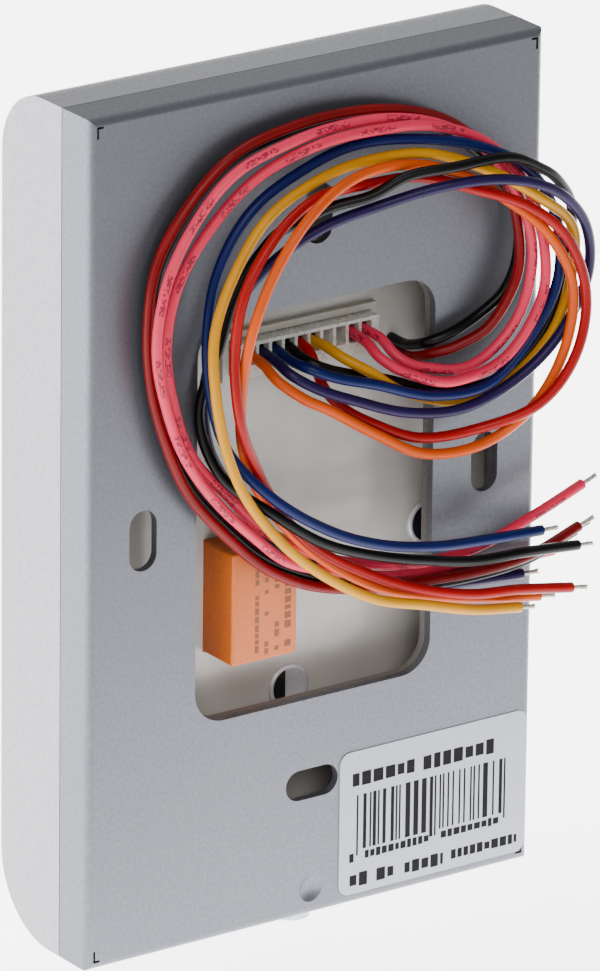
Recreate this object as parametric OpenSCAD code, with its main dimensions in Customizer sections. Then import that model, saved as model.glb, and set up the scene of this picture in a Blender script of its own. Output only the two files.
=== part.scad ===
// Keypad access reader, wall mounted, seen on its own with its wiring tail.
// Front faces -Y, the wall is at y = 0, +Z is up.
// The origin is the middle of the wall plane, between the four screw slots.

/* [Case] */
// Width of the case
case_w = 70; // [68:1:90]
// Height of the case
case_h = 115; // [112:1:130]
// Depth from the wall to the front face
case_d = 20; // [20:0.5:24]
// Thickness of the cast front and its walls
cast_t = 2; // [1.6:0.1:2.2]
// Radius of the curve between the front face and the top
top_r = 9; // [6:0.5:12]
// Radius of the curve between the front face and the bottom
bottom_r = 11; // [6:0.5:12]

/* [Wall bracket] */
// Depth of the folded bracket's flanges
bracket_d = 6.5; // [5.5:0.5:7]
// Thickness of the bracket's sheet
sheet_t = 1.2; // [1:0.1:1.5]
// Outer radius of the bracket's bends
bend_r = 1; // [0.5:0.1:1.2]
// Width of the wiring window
window_w = 37; // [34:1:40]
// Height of the wiring window
window_h = 54.4; // [50:0.2:58]
// Corner radius of the wiring window
window_r = 4.5; // [2:0.5:6]
// Width of each wall screw slot
slot_w = 4.2; // [4:0.1:5]
// Length of each wall screw slot
slot_l = 8.2; // [7:0.1:10]
// Distance between the left and right slots
slot_span_x = 53.4; // [52:0.1:56]
// Distance between the upper and lower slots
slot_span_z = 78; // [76:0.5:84]

/* [Keys] */
// Width of a key cap
key_w = 13; // [10:0.5:14]
// Height of a key cap
key_h = 10; // [8:0.5:11]
// Sideways distance between keys
key_pitch_x = 18; // [17:0.5:19]
// Upright distance between keys
key_pitch_z = 14.5; // [13.5:0.5:15]
// How far a key can be pressed
key_travel = 0.8; // [0.5:0.1:0.8]
// How far a key stands out of the face
key_proud = 1; // [0.9:0.1:1.5]

/* [Wiring] */
// Outer diameter of an insulated wire
wire_d = 1.4; // [1.2:0.1:1.4]
// Distance between the positions of the wire plug
plug_pitch = 2; // [2:0.1:2.2]
// Length of bare strands at the end of a wire
bare_l = 2.5; // [1:0.5:5]

/* [Hidden] */
$fn = 48;
wire_ids = [
    "orange", "violet", "blue", "black", "red", "yellow", "pink_left", "pink_right", "pair_red", "pair_black"
];

half_w = case_w / 2;
half_h = case_h / 2;
face_y = -case_d;
face_back_y = face_y + cast_t;
fit = 0.15; // gap between parts that slide together
seam = 0.15; // gap between the cast front and the bracket's flanges

// The cast front's rim stands inside the bracket's flanges.
rim_t = 1.5;
rim_end_y = -2.5;
rim_root_y = -bracket_d - 1.5;
rim_w = case_w - 2 * (sheet_t + fit);
rim_h = case_h - 2 * (sheet_t + fit);
room_w = rim_w - 2 * rim_t;
room_h = rim_h - 2 * rim_t;

// Layers of the electronics, from the wall forwards.
frame_y = -sheet_t - 0.05;
frame_t = 1.1;
potting_y = -7.1;
board_y = -12;
board_t = 1.6;
board_front_y = board_y - board_t;

relay_size = [10.2, 11.5, 15.5];
relay_at = [7.4, -12.75];
can_d = 6.3;
can_top_y = -6.6;
can_base = [6.6, 0.9, 6.6];
can_places = [[-1, -28], [-22.8, -9.6]];

plug_ways = 10;
plug_at = [-1.5, 19.5];
plug_h = 4.5;
plug_face_y = -4;
plug_end_y = -10.4;
plug_w = plug_pitch * (plug_ways - 1) + 3.9;
cavity = [1.55, 2.6];
cavity_floor_y = -6.5;
cavity_rise = 0.5; // wires sit this far above the middle of the plug
header_wall = 0.9;
header_top_y = -6;
used_ways = [0, 1, 2, 3, 4, 5, 8, 9];

screw_y = -4.6;
screw_bore_r = 1.25;
screw_shank_r = 1.2;
screw_head_r = 2.6;
screw_l = 6;
boss_r = 2.1;
boss_l = 4.5;

label_size = [30, 20];
label_at = [-19.4, -46.1];
label_t = 0.15;
dimple_z = -53.8;

key_top_z = 12;
flange_over = 1;
flange_t = 0.8;
flange_front_y = face_back_y + 0.05;
stem_r = 1.6;
stem_end_y = -16.2;
mat_t = 1.2;
dome_r = 3;
dome_t = 0.3;
mat_boss_r = 2.4;

reader_size = [44, 20];
reader_z = 35;
reader_lip = 1.5;
lens_r = 1.6;
lens_z = 50.5;
lens_step = 9;

function key_x(i) = (i % 3 - 1) * key_pitch_x;
function key_z(i) = key_top_z - floor(i / 3) * key_pitch_z;
function way_x(i) = plug_at[0] + ((plug_ways - 1) / 2 - i) * plug_pitch;
way_z = plug_at[1] + cavity_rise;

// Routes of the wires, from the plug or the potting to the cut end.
route_orange = [
    [7.5, -6.5, 20], [7.5, -4, 20], [7.5, -1, 19.5], [7, 1.5, 18], [4, 3, 15.5], [0.5, 3.5, 13.5],
    [-6.5, 4, 9], [-14, 4.5, 5], [-22.5, 5.5, 5], [-29.5, 7, 9.5], [-33.5, 8, 17],
    [-34, 8.5, 25.5], [-30, 8.5, 33], [-24, 7, 38.5], [-17, 6, 43], [-9, 6, 45.5],
    [-0.5, 7, 45.5], [7, 8.5, 42.5], [12.5, 8.5, 36], [16, 8.5, 28.5], [16.5, 7, 20.5],
    [15, 5, 12], [11.5, 4, 4.5], [6.5, 4.5, -2], [1, 5.5, -7], [-6.5, 6, -11.5],
    [-15, 5.5, -14.5], [-23.5, 5.5, -16.5], [-32, 5.5, -18]
];
route_violet = [
    [5.5, -6.5, 20], [5.5, -4, 20], [5.5, -1, 19.5], [5, 1.5, 18.5], [2, 3, 16.5],
    [-2.5, 4, 14.5], [-10.5, 5, 11.5], [-19, 5.5, 10.5], [-27, 6, 13], [-33.5, 6.5, 18],
    [-37.5, 7, 25.5], [-35.5, 9, 33.5], [-29.5, 10.5, 39.5], [-21.5, 10.5, 42.5],
    [-13.5, 8.5, 42.5], [-5.5, 5.5, 40.5], [2.5, 4, 38.5], [10, 3, 34.5], [15, 1.5, 28],
    [18, 1, 20], [17.5, 1, 11.5], [13.5, 1, 4], [8.5, 1, -3], [2, 0.5, -7.5], [-5.5, 0.5, -12],
    [-14, 2, -14.5], [-22.5, 2.5, -15], [-31, 3, -15.5]
];
route_blue = [
    [3.5, -6.5, 20], [3.5, -4, 20], [3.5, -1, 19.5], [2.5, 2, 19], [-1, 3.5, 17.5], [-6, 4.5, 16],
    [-14.5, 5, 13], [-23, 5.5, 13], [-29.5, 5.5, 18], [-33.5, 6, 25.5], [-33, 6, 34],
    [-28, 7, 41.5], [-20.5, 7, 46], [-12.5, 5, 48], [-3.5, 3.5, 48.5], [4.5, 3, 46.5],
    [12.5, 3, 42.5], [17.5, 3, 35.5], [19.5, 3.5, 27.5], [19.5, 4.5, 19], [17.5, 6, 11.5],
    [12, 8.5, 5], [4, 9, -0.5], [-4, 9, -4], [-12.5, 9, -6], [-21, 8.5, -7], [-30, 8.5, -7.5]
];
route_black = [
    [1.5, -6.5, 20], [1.5, -4, 20], [1.5, -2, 19.5], [1, 0, 19], [-1, 1, 18], [-5, 1, 16.5],
    [-10, 1.5, 15], [-18, 2, 12], [-26.5, 3, 12.5], [-33, 3.5, 17.5], [-36.5, 3.5, 25.5],
    [-35.5, 6, 34.5], [-32, 8, 39.5], [-28, 9, 42.5], [-22.5, 9.5, 45], [-14.5, 9, 45],
    [-8.5, 7.5, 44.5], [-3.5, 6.5, 42.5], [1.5, 5, 41.5], [5.5, 4, 40], [9.5, 3.5, 38.5],
    [14.5, 3, 32.5], [17.5, 3, 24.5], [20, 2.5, 16.5], [18, 4.5, 8.5], [12, 8, 3], [5, 8.5, -2],
    [-3, 8, -5.5], [-11.5, 8, -8], [-20, 7.5, -10], [-28.5, 7.5, -10.5], [-37, 7, -11.5]
];
route_red = [
    [-0.5, -6.5, 20], [-0.5, -4, 20], [-0.5, -2, 19], [-0.5, -0.5, 17], [-1, 0.5, 15],
    [-2.5, 1.5, 13], [-6, 2.5, 10.5], [-13.5, 3.5, 7], [-21.5, 5, 7], [-29, 8.5, 10],
    [-34, 9.5, 16], [-35.5, 9.5, 24], [-32.5, 9.5, 32], [-26.5, 9, 37.5], [-18.5, 7.5, 41],
    [-12, 5, 43], [-4, 5, 43.5], [4.5, 6, 43.5], [11.5, 7, 40], [16.5, 7.5, 33.5],
    [18, 7.5, 25.5], [17.5, 8, 17], [14, 6.5, 9.5], [10, 6.5, 2.5], [4.5, 6.5, -3.5],
    [-2.5, 7, -8], [-10, 8, -11.5], [-18.5, 8.5, -14], [-26.5, 8.5, -15], [-35, 8.5, -16.5]
];
route_yellow = [
    [-2.5, -6.5, 20], [-2.5, -4, 20], [-2.5, -1.5, 20], [-3.5, 1, 19], [-6.5, 3, 17],
    [-11.5, 3, 13.5], [-19.5, 4, 11], [-27, 4.5, 12.5], [-33.5, 5, 18], [-36, 5.5, 25.5],
    [-34.5, 7.5, 33], [-28, 9, 38.5], [-21, 8, 43], [-13.5, 5.5, 46], [-5.5, 4.5, 46.5],
    [2.5, 4.5, 45.5], [10.5, 4.5, 42], [16, 5, 36], [20, 6, 28.5], [20.5, 7, 20.5],
    [19, 7.5, 12.5], [16, 8, 5.5], [10.5, 8.5, -1.5], [4, 8.5, -7], [-3.5, 8.5, -11.5],
    [-11.5, 8.5, -14], [-19.5, 8, -16.5], [-27.5, 7.5, -18]
];
route_pink_left = [
    [-8.5, -6.5, 20], [-8.5, -4, 20], [-8.5, -1, 19.5], [-9, 1.5, 18], [-12, 3.5, 16],
    [-17.5, 5.5, 14.5], [-25.5, 6, 16.5], [-31, 6, 23.5], [-31, 6, 31.5], [-28, 6, 39.5],
    [-22, 5.5, 46], [-14, 5, 49.5], [-5.5, 5, 50.5], [3, 4.5, 50], [11, 3, 47], [17.5, 2.5, 42],
    [23, 2.5, 35], [25, 2.5, 27], [24, 2.5, 19], [21, 2.5, 11], [15.5, 3, 4.5], [9.5, 2.5, -1.5],
    [2, 3.5, -6], [-6, 4.5, -8.5], [-14, 5.5, -9.5], [-22.5, 5.5, -9], [-31, 5.5, -6.5],
    [-39, 5, -4]
];
route_pink_right = [
    [-10.5, -6.5, 20], [-10.5, -4, 20], [-11, -1.5, 19.5], [-12, 1, 17.5], [-15, 2.5, 16],
    [-21.5, 4, 15.5], [-28, 4.5, 20.5], [-30.5, 4.5, 28.5], [-28.5, 4.5, 36.5], [-24, 4, 43.5],
    [-17, 3.5, 48.5], [-9, 3.5, 51], [-0.5, 3.5, 51.5], [7.5, 3.5, 50.5], [15.5, 3.5, 48],
    [21.5, 3.5, 42.5], [26, 4, 35.5], [27.5, 4, 27], [26, 4, 19], [23, 4, 11.5], [18, 4, 4.5],
    [12, 4, -1.5], [6.5, 3.5, -6], [-1.5, 3.5, -9], [-10.5, 3, -11.5], [-20, 2.5, -12.5],
    [-28.5, 2, -13.5], [-37, 1.5, -14]
];
route_pair_red = [
    [-16.5, -7, 15.5], [-16.5, -4, 15.5], [-16.5, -1.5, 16], [-17.5, 1, 17], [-20.5, 2.5, 18],
    [-25, 3.5, 20.5], [-29, 3.5, 27], [-28.5, 3, 35.5], [-25, 2.5, 43], [-18.5, 2, 48.5],
    [-10.5, 2, 51.5], [-2, 2, 52.5], [6.5, 2, 52], [14.5, 2, 50], [21, 2, 45], [26, 2, 38],
    [27.5, 2, 30], [27, 2, 21.5], [25, 2.5, 13.5], [21.5, 2.5, 6], [16, 2.5, -0.5],
    [9.5, 2.5, -6.5], [2, 2.5, -10.5], [-6, 4, -12], [-14, 4.5, -12.5], [-22.5, 4.5, -13],
    [-31, 4.5, -12.5], [-39, 4.5, -10]
];
route_pair_black = [
    [-16.5, -7, 17], [-16.5, -4, 17], [-16.5, -2, 17.5], [-17, 0.5, 18.5], [-20, 1.5, 19.5],
    [-24, 1.5, 21], [-28, 2, 24], [-30, 2, 29], [-29.5, 1.5, 35.5], [-24.5, 1, 42.5],
    [-18, 1, 47], [-10, 1, 50.5], [-2, 1, 51.5], [6, 1, 51], [14, 1, 49], [20, 1, 44.5],
    [25, 1, 37.5], [26.5, 1, 30], [26, 1, 22], [24, 1.5, 14], [20.5, 1.5, 6.5], [15, 1.5, 0],
    [9, 1.5, -5.5], [1.5, 1.5, -9.5], [-6, 2, -12.5], [-14.5, 3.5, -13.5], [-22.5, 3.5, -14],
    [-31, 3.5, -13.5], [-39, 3.5, -11]
];

function route(name) =
    name == "orange" ? route_orange :
    name == "violet" ? route_violet :
    name == "blue" ? route_blue :
    name == "black" ? route_black :
    name == "red" ? route_red :
    name == "yellow" ? route_yellow :
    name == "pink_left" ? route_pink_left :
    name == "pink_right" ? route_pink_right :
    name == "pair_red" ? route_pair_red : route_pair_black;

// A smooth curve through every point: each span blends its own two points and their neighbours.
function span(a, b, c, d, t) =
    0.5 * (2 * b + (c - a) * t + (2 * a - 5 * b + 4 * c - d) * t * t + (3 * b - a - 3 * c + d) * t * t * t);
function curve(p, steps) = let (n = len(p) - 1) concat(
    [for (i = [0 : n - 1], k = [0 : steps - 1])
        span(i == 0 ? 2 * p[0] - p[1] : p[i - 1], p[i], p[i + 1],
            i == n - 1 ? 2 * p[n] - p[n - 1] : p[i + 2], k / steps)],
    [p[n]]);
function unit(v) = v / norm(v);
function tangents(c) = let (n = len(c) - 1) [for (i = [0 : n]) unit(c[min(i + 1, n)] - c[max(i - 1, 0)])];
function beside(v, t) = unit(v - (v * t) * t);
// Each ring's normal is the last ring's, turned square to the curve, so the tube doesn't twist.
function normals(t) = [for (i = 0, v = beside([0.3, 0.2, 1], t[0]); i < len(t);
    i = i + 1, v = i < len(t) ? beside(v, t[i]) : v) v];

module tube(c, r, sides = 8) {
    t = tangents(c);
    v = normals(t);
    rings = len(c);
    points = [for (i = [0 : rings - 1], k = [0 : sides - 1])
        c[i] + r * (cos(360 * k / sides) * v[i] + sin(360 * k / sides) * cross(t[i], v[i]))];
    walls = [for (i = [0 : rings - 2], k = [0 : sides - 1]) let (a = i * sides + k,
        b = i * sides + (k + 1) % sides) each [[a, b + sides, b], [a, a + sides, b + sides]]];
    caps = [[for (k = [0 : sides - 1]) k], [for (k = [sides - 1 : -1 : 0]) (rings - 1) * sides + k]];
    polyhedron(points, concat(walls, caps));
}

// Extrudes an outline drawn as (x, z) from y = from_y to y = to_y.
module slab(from_y, to_y) {
    rotate([90, 0, 0]) translate([0, 0, -to_y]) linear_extrude(to_y - from_y) children();
}

// Extrudes an outline drawn as (y, z) across the width w.
module across(w) {
    rotate([90, 0, 90]) translate([0, 0, -w / 2]) linear_extrude(w) children();
}

module rounded(w, h, r) {
    square([w - 2 * r, h], center = true);
    square([w, h - 2 * r], center = true);
    for (x = [-1, 1], z = [-1, 1]) translate([x * (w / 2 - r), z * (h / 2 - r)]) circle(r);
}

module slot_outline(w, l) {
    square([w, l - w], center = true);
    for (z = [-1, 1]) translate([0, z * (l - w) / 2]) circle(w / 2);
}

// The bracket's four screw slots: three upright and the lower one level.
module slot_outlines(w, l) {
    for (x = [-1, 1]) translate([x * slot_span_x / 2, 0]) slot_outline(w, l);
    translate([0, slot_span_z / 2]) slot_outline(w, l);
    translate([0, -slot_span_z / 2]) rotate(90) slot_outline(w, l);
}

// Side outline of the cast front as (y, z), drawn in by inset on every side but the rear.
module side_outline(inset) {
    front = face_y + inset;
    top = half_h - inset;
    rt = top_r - inset;
    rb = bottom_r - inset;
    intersection() {
        translate([front, -top]) square([-bracket_d - front, 2 * top]);
        union() {
            difference() {
                translate([front, -top]) square([-bracket_d - front, 2 * top]);
                translate([front, top - rt]) square([rt, rt]);
                translate([front, -top]) square([rb, rb]);
            }
            translate([front + rt, top - rt]) circle(rt);
            translate([front + rb, rb - top]) circle(rb);
        }
    }
}

module front_housing() color("silver") {
    difference() {
        union() {
            difference() {
                across(case_w) side_outline(0);
                across(case_w - 2 * cast_t) side_outline(cast_t);
                slab(-bracket_d - 0.01, 0) square([room_w, room_h], center = true);
            }
            slab(rim_root_y, rim_end_y) difference() {
                square([rim_w, rim_h], center = true);
                square([room_w, room_h], center = true);
            }
            translate([0, screw_y, -rim_h / 2]) cylinder(r = boss_r, h = boss_l + rim_t);
        }
        for (i = [0 : 11])
            translate([key_x(i), 0, key_z(i)])
                slab(face_y - 1, face_back_y + 1) rounded(key_w + 2 * fit, key_h + 2 * fit, 1.5);
        translate([0, 0, reader_z])
            slab(face_y - 1, face_back_y + 1) rounded(reader_size[0], reader_size[1], 2);
        for (x = [-1 : 1])
            translate([x * lens_step, face_y - 1, lens_z]) rotate([-90, 0, 0])
                cylinder(r = lens_r, h = cast_t + 3);
        translate([0, screw_y, -rim_h / 2 - 1]) cylinder(r = screw_bore_r, h = boss_l + rim_t + 2);
    }
}

// Box with bends along its four rear edges: the common part of two rounded bars.
module bracket_blank() {
    intersection() {
        across(case_w) bend_outline(half_h);
        translate([0, 0, -half_h]) linear_extrude(case_h) rotate(90) bend_outline(half_w);
    }
}

// Outline as (y, across) with its two rear corners rounded.
module bend_outline(half) {
    translate([seam - bracket_d, -half]) square([bracket_d - seam - bend_r, 2 * half]);
    translate([-bend_r - 0.01, bend_r - half]) square([bend_r + 0.01, 2 * (half - bend_r)]);
    for (side = [-1, 1]) translate([-bend_r, side * (half - bend_r)]) circle(bend_r);
}

module back_tray() color("silver") {
    inner_w = case_w - 2 * sheet_t;
    inner_h = case_h - 2 * sheet_t;
    difference() {
        bracket_blank();
        slab(-bracket_d - 1, -sheet_t) square([inner_w, inner_h], center = true);
        slab(-sheet_t - 1, 1) {
            rounded(window_w, window_h, window_r);
            slot_outlines(slot_w, slot_l);
            for (x = [-1, 1], z = [-1, 1]) scale([x, z]) corner_relief();
        }
        translate([0, 2.6, dimple_z]) sphere(3.2);
        translate([0, screw_y, -half_h - 1]) cylinder(r = 1.7, h = sheet_t + 2);
    }
}

// Slit that lets the sheet fold at a corner.
module corner_relief() {
    translate([half_w - bend_r - 0.3, half_h - bend_r - 1.6]) square([0.3, 1.6]);
    translate([half_w - bend_r - 1, half_h - bend_r - 0.3]) square([1, 0.3]);
}

module rear_frame() color("dimgray") slab(frame_y - frame_t, frame_y) difference() {
    square([room_w - 2 * fit, room_h - 2 * fit], center = true);
    rounded(window_w, window_h, window_r);
    screw_notches();
}

// Notches that leave room for the wall screws, open to the frame's outer edge.
module screw_notches() {
    wide = slot_w + 3.5;
    long = slot_l + 3.5;
    for (x = [-1, 1])
        translate([x * (slot_span_x / 2 + 10 - wide / 2), 0]) square([20, long], center = true);
    translate([0, slot_span_z / 2 + 20 - long / 2]) square([wide, 40], center = true);
    translate([0, wide / 2 - slot_span_z / 2 - 20]) square([long, 40], center = true);
}

module security_screw() color("gray") {
    difference() {
        union() {
            translate([0, screw_y, -half_h]) cylinder(r = screw_shank_r, h = screw_l);
            translate([0, screw_y, -half_h - 1.4]) cylinder(r = screw_head_r, h = 1.4);
        }
        translate([0, screw_y, -half_h - 2]) cylinder(r = 1.3, h = 1.4, $fn = 6);
    }
}

module label() color("white") translate([label_at[0], 0, label_at[1]])
    slab(0, label_t) rounded(label_size[0], label_size[1], 1.6);

module main_board() color("darkgreen")
    slab(board_front_y, board_y) rounded(room_w - 2 * fit - 2, room_h - 4, 2);

module relay_blank() {
    translate([relay_at[0], board_y + relay_size[1] / 2, relay_at[1]]) cube(relay_size, center = true);
}

module relay_case() color("orangered") relay_blank();

module can_bases() {
    for (p = can_places) translate([p[0], board_y + can_base[1] / 2, p[1]]) cube(can_base, center = true);
}

module cans() {
    for (p = can_places) translate([p[0], board_y + can_base[1], p[1]])
        rotate([-90, 0, 0]) cylinder(d = can_d, h = can_top_y - board_y - can_base[1]);
}

module capacitor_bases() color("black") can_bases();
module capacitor_cans() color("lightgray") cans();

module header_blank() {
    translate([plug_at[0], 0, plug_at[1]]) slab(board_y, header_top_y)
        square([plug_w + 2 * header_wall + 2 * fit, plug_h + 2 * header_wall + 2 * fit], center = true);
}

module board_header() color("ivory") difference() {
    header_blank();
    translate([plug_at[0], 0, plug_at[1]]) slab(plug_end_y, 1)
        square([plug_w + 2 * fit, plug_h + 2 * fit], center = true);
    for (i = [0 : plug_ways - 1]) translate([way_x(i), 0, way_z])
        slab(board_y - 1, 1) square(0.7, center = true);
}

module header_pins() color("gold") for (i = [0 : plug_ways - 1])
    translate([way_x(i), 0, way_z]) slab(board_y, -9.6) square(0.64, center = true);

module wire_plug() color("ivory") difference() {
    translate([plug_at[0], 0, plug_at[1]]) slab(plug_end_y, plug_face_y)
        square([plug_w, plug_h], center = true);
    for (i = [0 : plug_ways - 1]) translate([way_x(i), 0, way_z]) {
        slab(cavity_floor_y, 1) square(cavity, center = true);
        slab(plug_end_y - 1, 1) square([1, 1.2], center = true);
    }
}

module crimp_terminals() color("gainsboro") for (i = used_ways)
    translate([way_x(i), 0, way_z]) slab(-9.5, cavity_floor_y) square([0.8, 1], center = true);

module chip_blank() {
    translate([-18, board_y + 0.6, -30]) cube([10, 1.2, 10], center = true);
}

module regulator_blank() {
    translate([20, board_y + 1.1, 24]) cube([6.5, 2.2, 6.1], center = true);
}

module control_chip() color("black") chip_blank();
module voltage_regulator() color("black") regulator_blank();

module potting() color("darkgray") difference() {
    slab(board_y, potting_y) square([room_w - 2 * fit, room_h - 2 * fit], center = true);
    relay_blank();
    can_bases();
    cans();
    header_blank();
    chip_blank();
    regulator_blank();
}

module key_mat() color("dimgray") difference() {
    union() {
        translate([0, 0, key_z(4) - key_pitch_z / 2])
            slab(board_front_y - mat_t, board_front_y) rounded(57, 61, 3);
        for (i = [0 : 11]) translate([key_x(i), 0, key_z(i)])
            slab(board_front_y - mat_t - 0.4, board_front_y) circle(mat_boss_r);
    }
    for (i = [0 : 11]) translate([key_x(i), 0, key_z(i)])
        slab(board_front_y - dome_t - 0.1, board_front_y + 1) circle(dome_r + 0.3);
}

module key_switches() color("silver") for (i = [0 : 11])
    translate([key_x(i), 0, key_z(i)]) slab(board_front_y - dome_t, board_front_y) circle(dome_r);

module reader_window() color("#202428") translate([0, 0, reader_z]) {
    slab(face_y, face_back_y + 0.01) rounded(reader_size[0] - 2 * fit, reader_size[1] - 2 * fit, 2 - fit);
    slab(face_back_y, face_back_y + 1)
        rounded(reader_size[0] + 2 * reader_lip, reader_size[1] + 2 * reader_lip, 3);
}

module antenna_coil() color("peru") translate([0, 0, reader_z])
    slab(face_back_y + 1, face_back_y + 1.8) difference() {
        rounded(42, 18, 3);
        rounded(35, 11, 2);
    }

module status_lenses() color("whitesmoke") for (x = [-1 : 1])
    translate([x * lens_step, face_y - 0.2, lens_z]) rotate([-90, 0, 0])
        cylinder(r = lens_r - 0.05, h = board_front_y - 0.8 - face_y + 0.2);

module status_leds() color("yellow") for (x = [-1 : 1])
    translate([x * lens_step, board_front_y - 0.4, lens_z]) cube([3, 0.8, 1.6], center = true);

module buzzer() color("black")
    translate([0, board_front_y - 3.4, -45.6]) rotate([-90, 0, 0]) cylinder(r = 4.8, h = 3.4);

module key(i) color("lightsteelblue") translate([key_x(i), 0, key_z(i)]) {
    slab(face_y - key_proud, flange_front_y + 0.01) rounded(key_w, key_h, 1.35);
    slab(flange_front_y, flange_front_y + flange_t)
        rounded(key_w + 2 * flange_over, key_h + 2 * flange_over, 2);
    slab(flange_front_y + flange_t - 0.01, stem_end_y) circle(stem_r);
}

module wire(name, tint) color(tint) tube(curve(route(name), 2), wire_d / 2);

module bare_end(name) {
    p = route(name);
    n = len(p) - 1;
    way = unit(p[n] - p[n - 1]);
    tube([p[n], p[n] + bare_l * way], 0.3);
}

module stripped_ends() color("silver") for (name = wire_ids) bare_end(name);

front_housing();
back_tray();
rear_frame();
security_screw();
label();
main_board();
potting();
relay_case();
capacitor_bases();
capacitor_cans();
board_header();
header_pins();
wire_plug();
crimp_terminals();
key_mat();
key_switches();
reader_window();
antenna_coil();
status_lenses();
status_leds();
buzzer();
control_chip();
voltage_regulator();
stripped_ends();
key(0);  // key_1
key(1);  // key_2
key(2);  // key_3
key(3);  // key_4
key(4);  // key_5
key(5);  // key_6
key(6);  // key_7
key(7);  // key_8
key(8);  // key_9
key(9);  // key_star
key(10);  // key_0
key(11);  // key_hash
wire("orange", "chocolate");  // wire_orange
wire("violet", "indigo");  // wire_violet
wire("blue", "midnightblue");  // wire_blue
wire("black", "black");  // wire_black
wire("red", "red");  // wire_red
wire("yellow", "goldenrod");  // wire_yellow
wire("pink_left", "hotpink");  // wire_pink_left
wire("pink_right", "hotpink");  // wire_pink_right
wire("pair_red", "firebrick");  // wire_pair_red
wire("pair_black", "black");  // wire_pair_black
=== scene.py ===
# A keypad access reader seen from behind: steel back, potted electronics and its bundle of wires.
import math

import bmesh
import bpy
import numpy as np
from mathutils import Matrix, Vector


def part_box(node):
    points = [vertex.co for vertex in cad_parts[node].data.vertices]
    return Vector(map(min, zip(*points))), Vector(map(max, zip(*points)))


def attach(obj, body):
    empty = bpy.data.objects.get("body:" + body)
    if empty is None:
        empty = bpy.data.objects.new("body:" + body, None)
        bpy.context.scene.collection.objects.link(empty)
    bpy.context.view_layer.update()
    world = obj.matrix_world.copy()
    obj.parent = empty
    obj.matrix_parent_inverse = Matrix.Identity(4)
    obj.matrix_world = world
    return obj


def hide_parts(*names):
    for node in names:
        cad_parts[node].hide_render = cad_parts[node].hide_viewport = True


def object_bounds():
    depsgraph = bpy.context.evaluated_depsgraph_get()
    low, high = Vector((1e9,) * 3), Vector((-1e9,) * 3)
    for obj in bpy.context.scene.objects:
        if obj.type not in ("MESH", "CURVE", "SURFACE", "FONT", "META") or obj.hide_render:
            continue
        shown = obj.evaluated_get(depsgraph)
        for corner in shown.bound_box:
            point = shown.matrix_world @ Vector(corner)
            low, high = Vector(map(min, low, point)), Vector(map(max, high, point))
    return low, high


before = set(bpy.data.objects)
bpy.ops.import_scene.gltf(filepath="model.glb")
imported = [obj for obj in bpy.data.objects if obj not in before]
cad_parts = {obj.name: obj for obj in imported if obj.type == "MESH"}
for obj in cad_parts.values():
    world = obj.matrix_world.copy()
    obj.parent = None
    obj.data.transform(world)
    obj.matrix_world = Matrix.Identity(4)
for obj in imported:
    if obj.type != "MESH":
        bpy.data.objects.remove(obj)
cadBox = [list(corner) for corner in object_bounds()]
print("frame loaded:", len(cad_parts), "nodes")


def linearColour(hexText):  # sRGB hex to linear red, green, blue and alpha
    parts = np.array([int(hexText[i:i + 2], 16) for i in (1, 3, 5)]) / 255
    return (*np.where(parts <= 0.04045, parts / 12.92, ((parts + 0.055) / 1.055) ** 2.4), 1.0)


def addNode(tree, kind, values=None, links=None, **settings):  # one node with its settings and links
    node = tree.nodes.new("ShaderNode" + kind)
    for name, value in settings.items():
        setattr(node, name, value)
    for name, value in (values or {}).items():
        node.inputs[name].default_value = value
    for name, socket in (links or {}).items():
        tree.links.new(socket, node.inputs[name])
    return node


def newMaterial(name, **look):  # a Principled material with its uniform numbers set on the shader
    material = bpy.data.materials.new(name)
    material.use_nodes = True
    tree = material.node_tree
    shader = tree.nodes["Principled BSDF"]
    for socket, value in look.items():
        shader.inputs[socket].default_value = value
    return material, tree, shader


# Camera: behind the reader, to its left and a little above, with a long lens.
viewpoint = {"azimuth": 144.829, "elevation": 20.396, "roll": 0.706, "distance": 1281.9,
             "target": (2.462, 0, 2.597), "lens": 371.3}


def placeCamera(view):
    a, e, roll = (math.radians(view[k]) for k in ("azimuth", "elevation", "roll"))
    back = Vector((math.sin(a) * math.cos(e), -math.cos(a) * math.cos(e), math.sin(e)))
    level = Vector((math.cos(a), math.sin(a), 0))
    right = math.cos(roll) * level + math.sin(roll) * back.cross(level)
    up = back.cross(right)
    lens = bpy.data.cameras.new("camera")
    lens.lens, lens.sensor_width, lens.clip_start, lens.clip_end = view["lens"], 36, 0.05, 50
    camera = bpy.data.objects.new("camera", lens)
    turn = Matrix((right, up, back)).transposed().to_4x4()
    place = (Vector(view["target"]) + back * view["distance"]) / 1000
    camera.matrix_world = Matrix.Translation(place) @ turn
    bpy.context.scene.collection.objects.link(camera)
    bpy.context.scene.camera = camera


placeCamera(viewpoint)
print("camera placed")


def gridFaces(rows, columns):
    # Quads between the rings of a closed tube, with each corner's own row and column for its UV.
    row, column = np.divmod(np.arange((rows - 1) * columns), columns)
    rowOf = row[:, None] + np.array([0, 0, 1, 1])
    columnOf = column[:, None] + np.array([0, 1, 1, 0])
    return rowOf * columns + columnOf % columns, rowOf, columnOf


def makePiece(name, points, faces, material, body="reader", uv=None, recalculate=False):
    mesh = bpy.data.meshes.new(name)
    mesh.from_pydata(np.asarray(points).tolist(), [], faces)
    if uv is not None:
        layer = mesh.uv_layers.new(name="alongPiece")
        layer.data.foreach_set("uv", np.asarray(uv, np.float32).ravel())
    if recalculate:
        work = bmesh.new()
        work.from_mesh(mesh)
        bmesh.ops.remove_doubles(work, verts=work.verts, dist=1e-7)
        bmesh.ops.recalc_face_normals(work, faces=work.faces)
        work.to_mesh(mesh)
        work.free()
    mesh.shade_smooth()
    mesh.set_sharp_from_angle(angle=math.radians(40))
    mesh.materials.append(material)
    piece = bpy.data.objects.new(name, mesh)
    bpy.context.scene.collection.objects.link(piece)
    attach(piece, body)
    return piece


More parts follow.
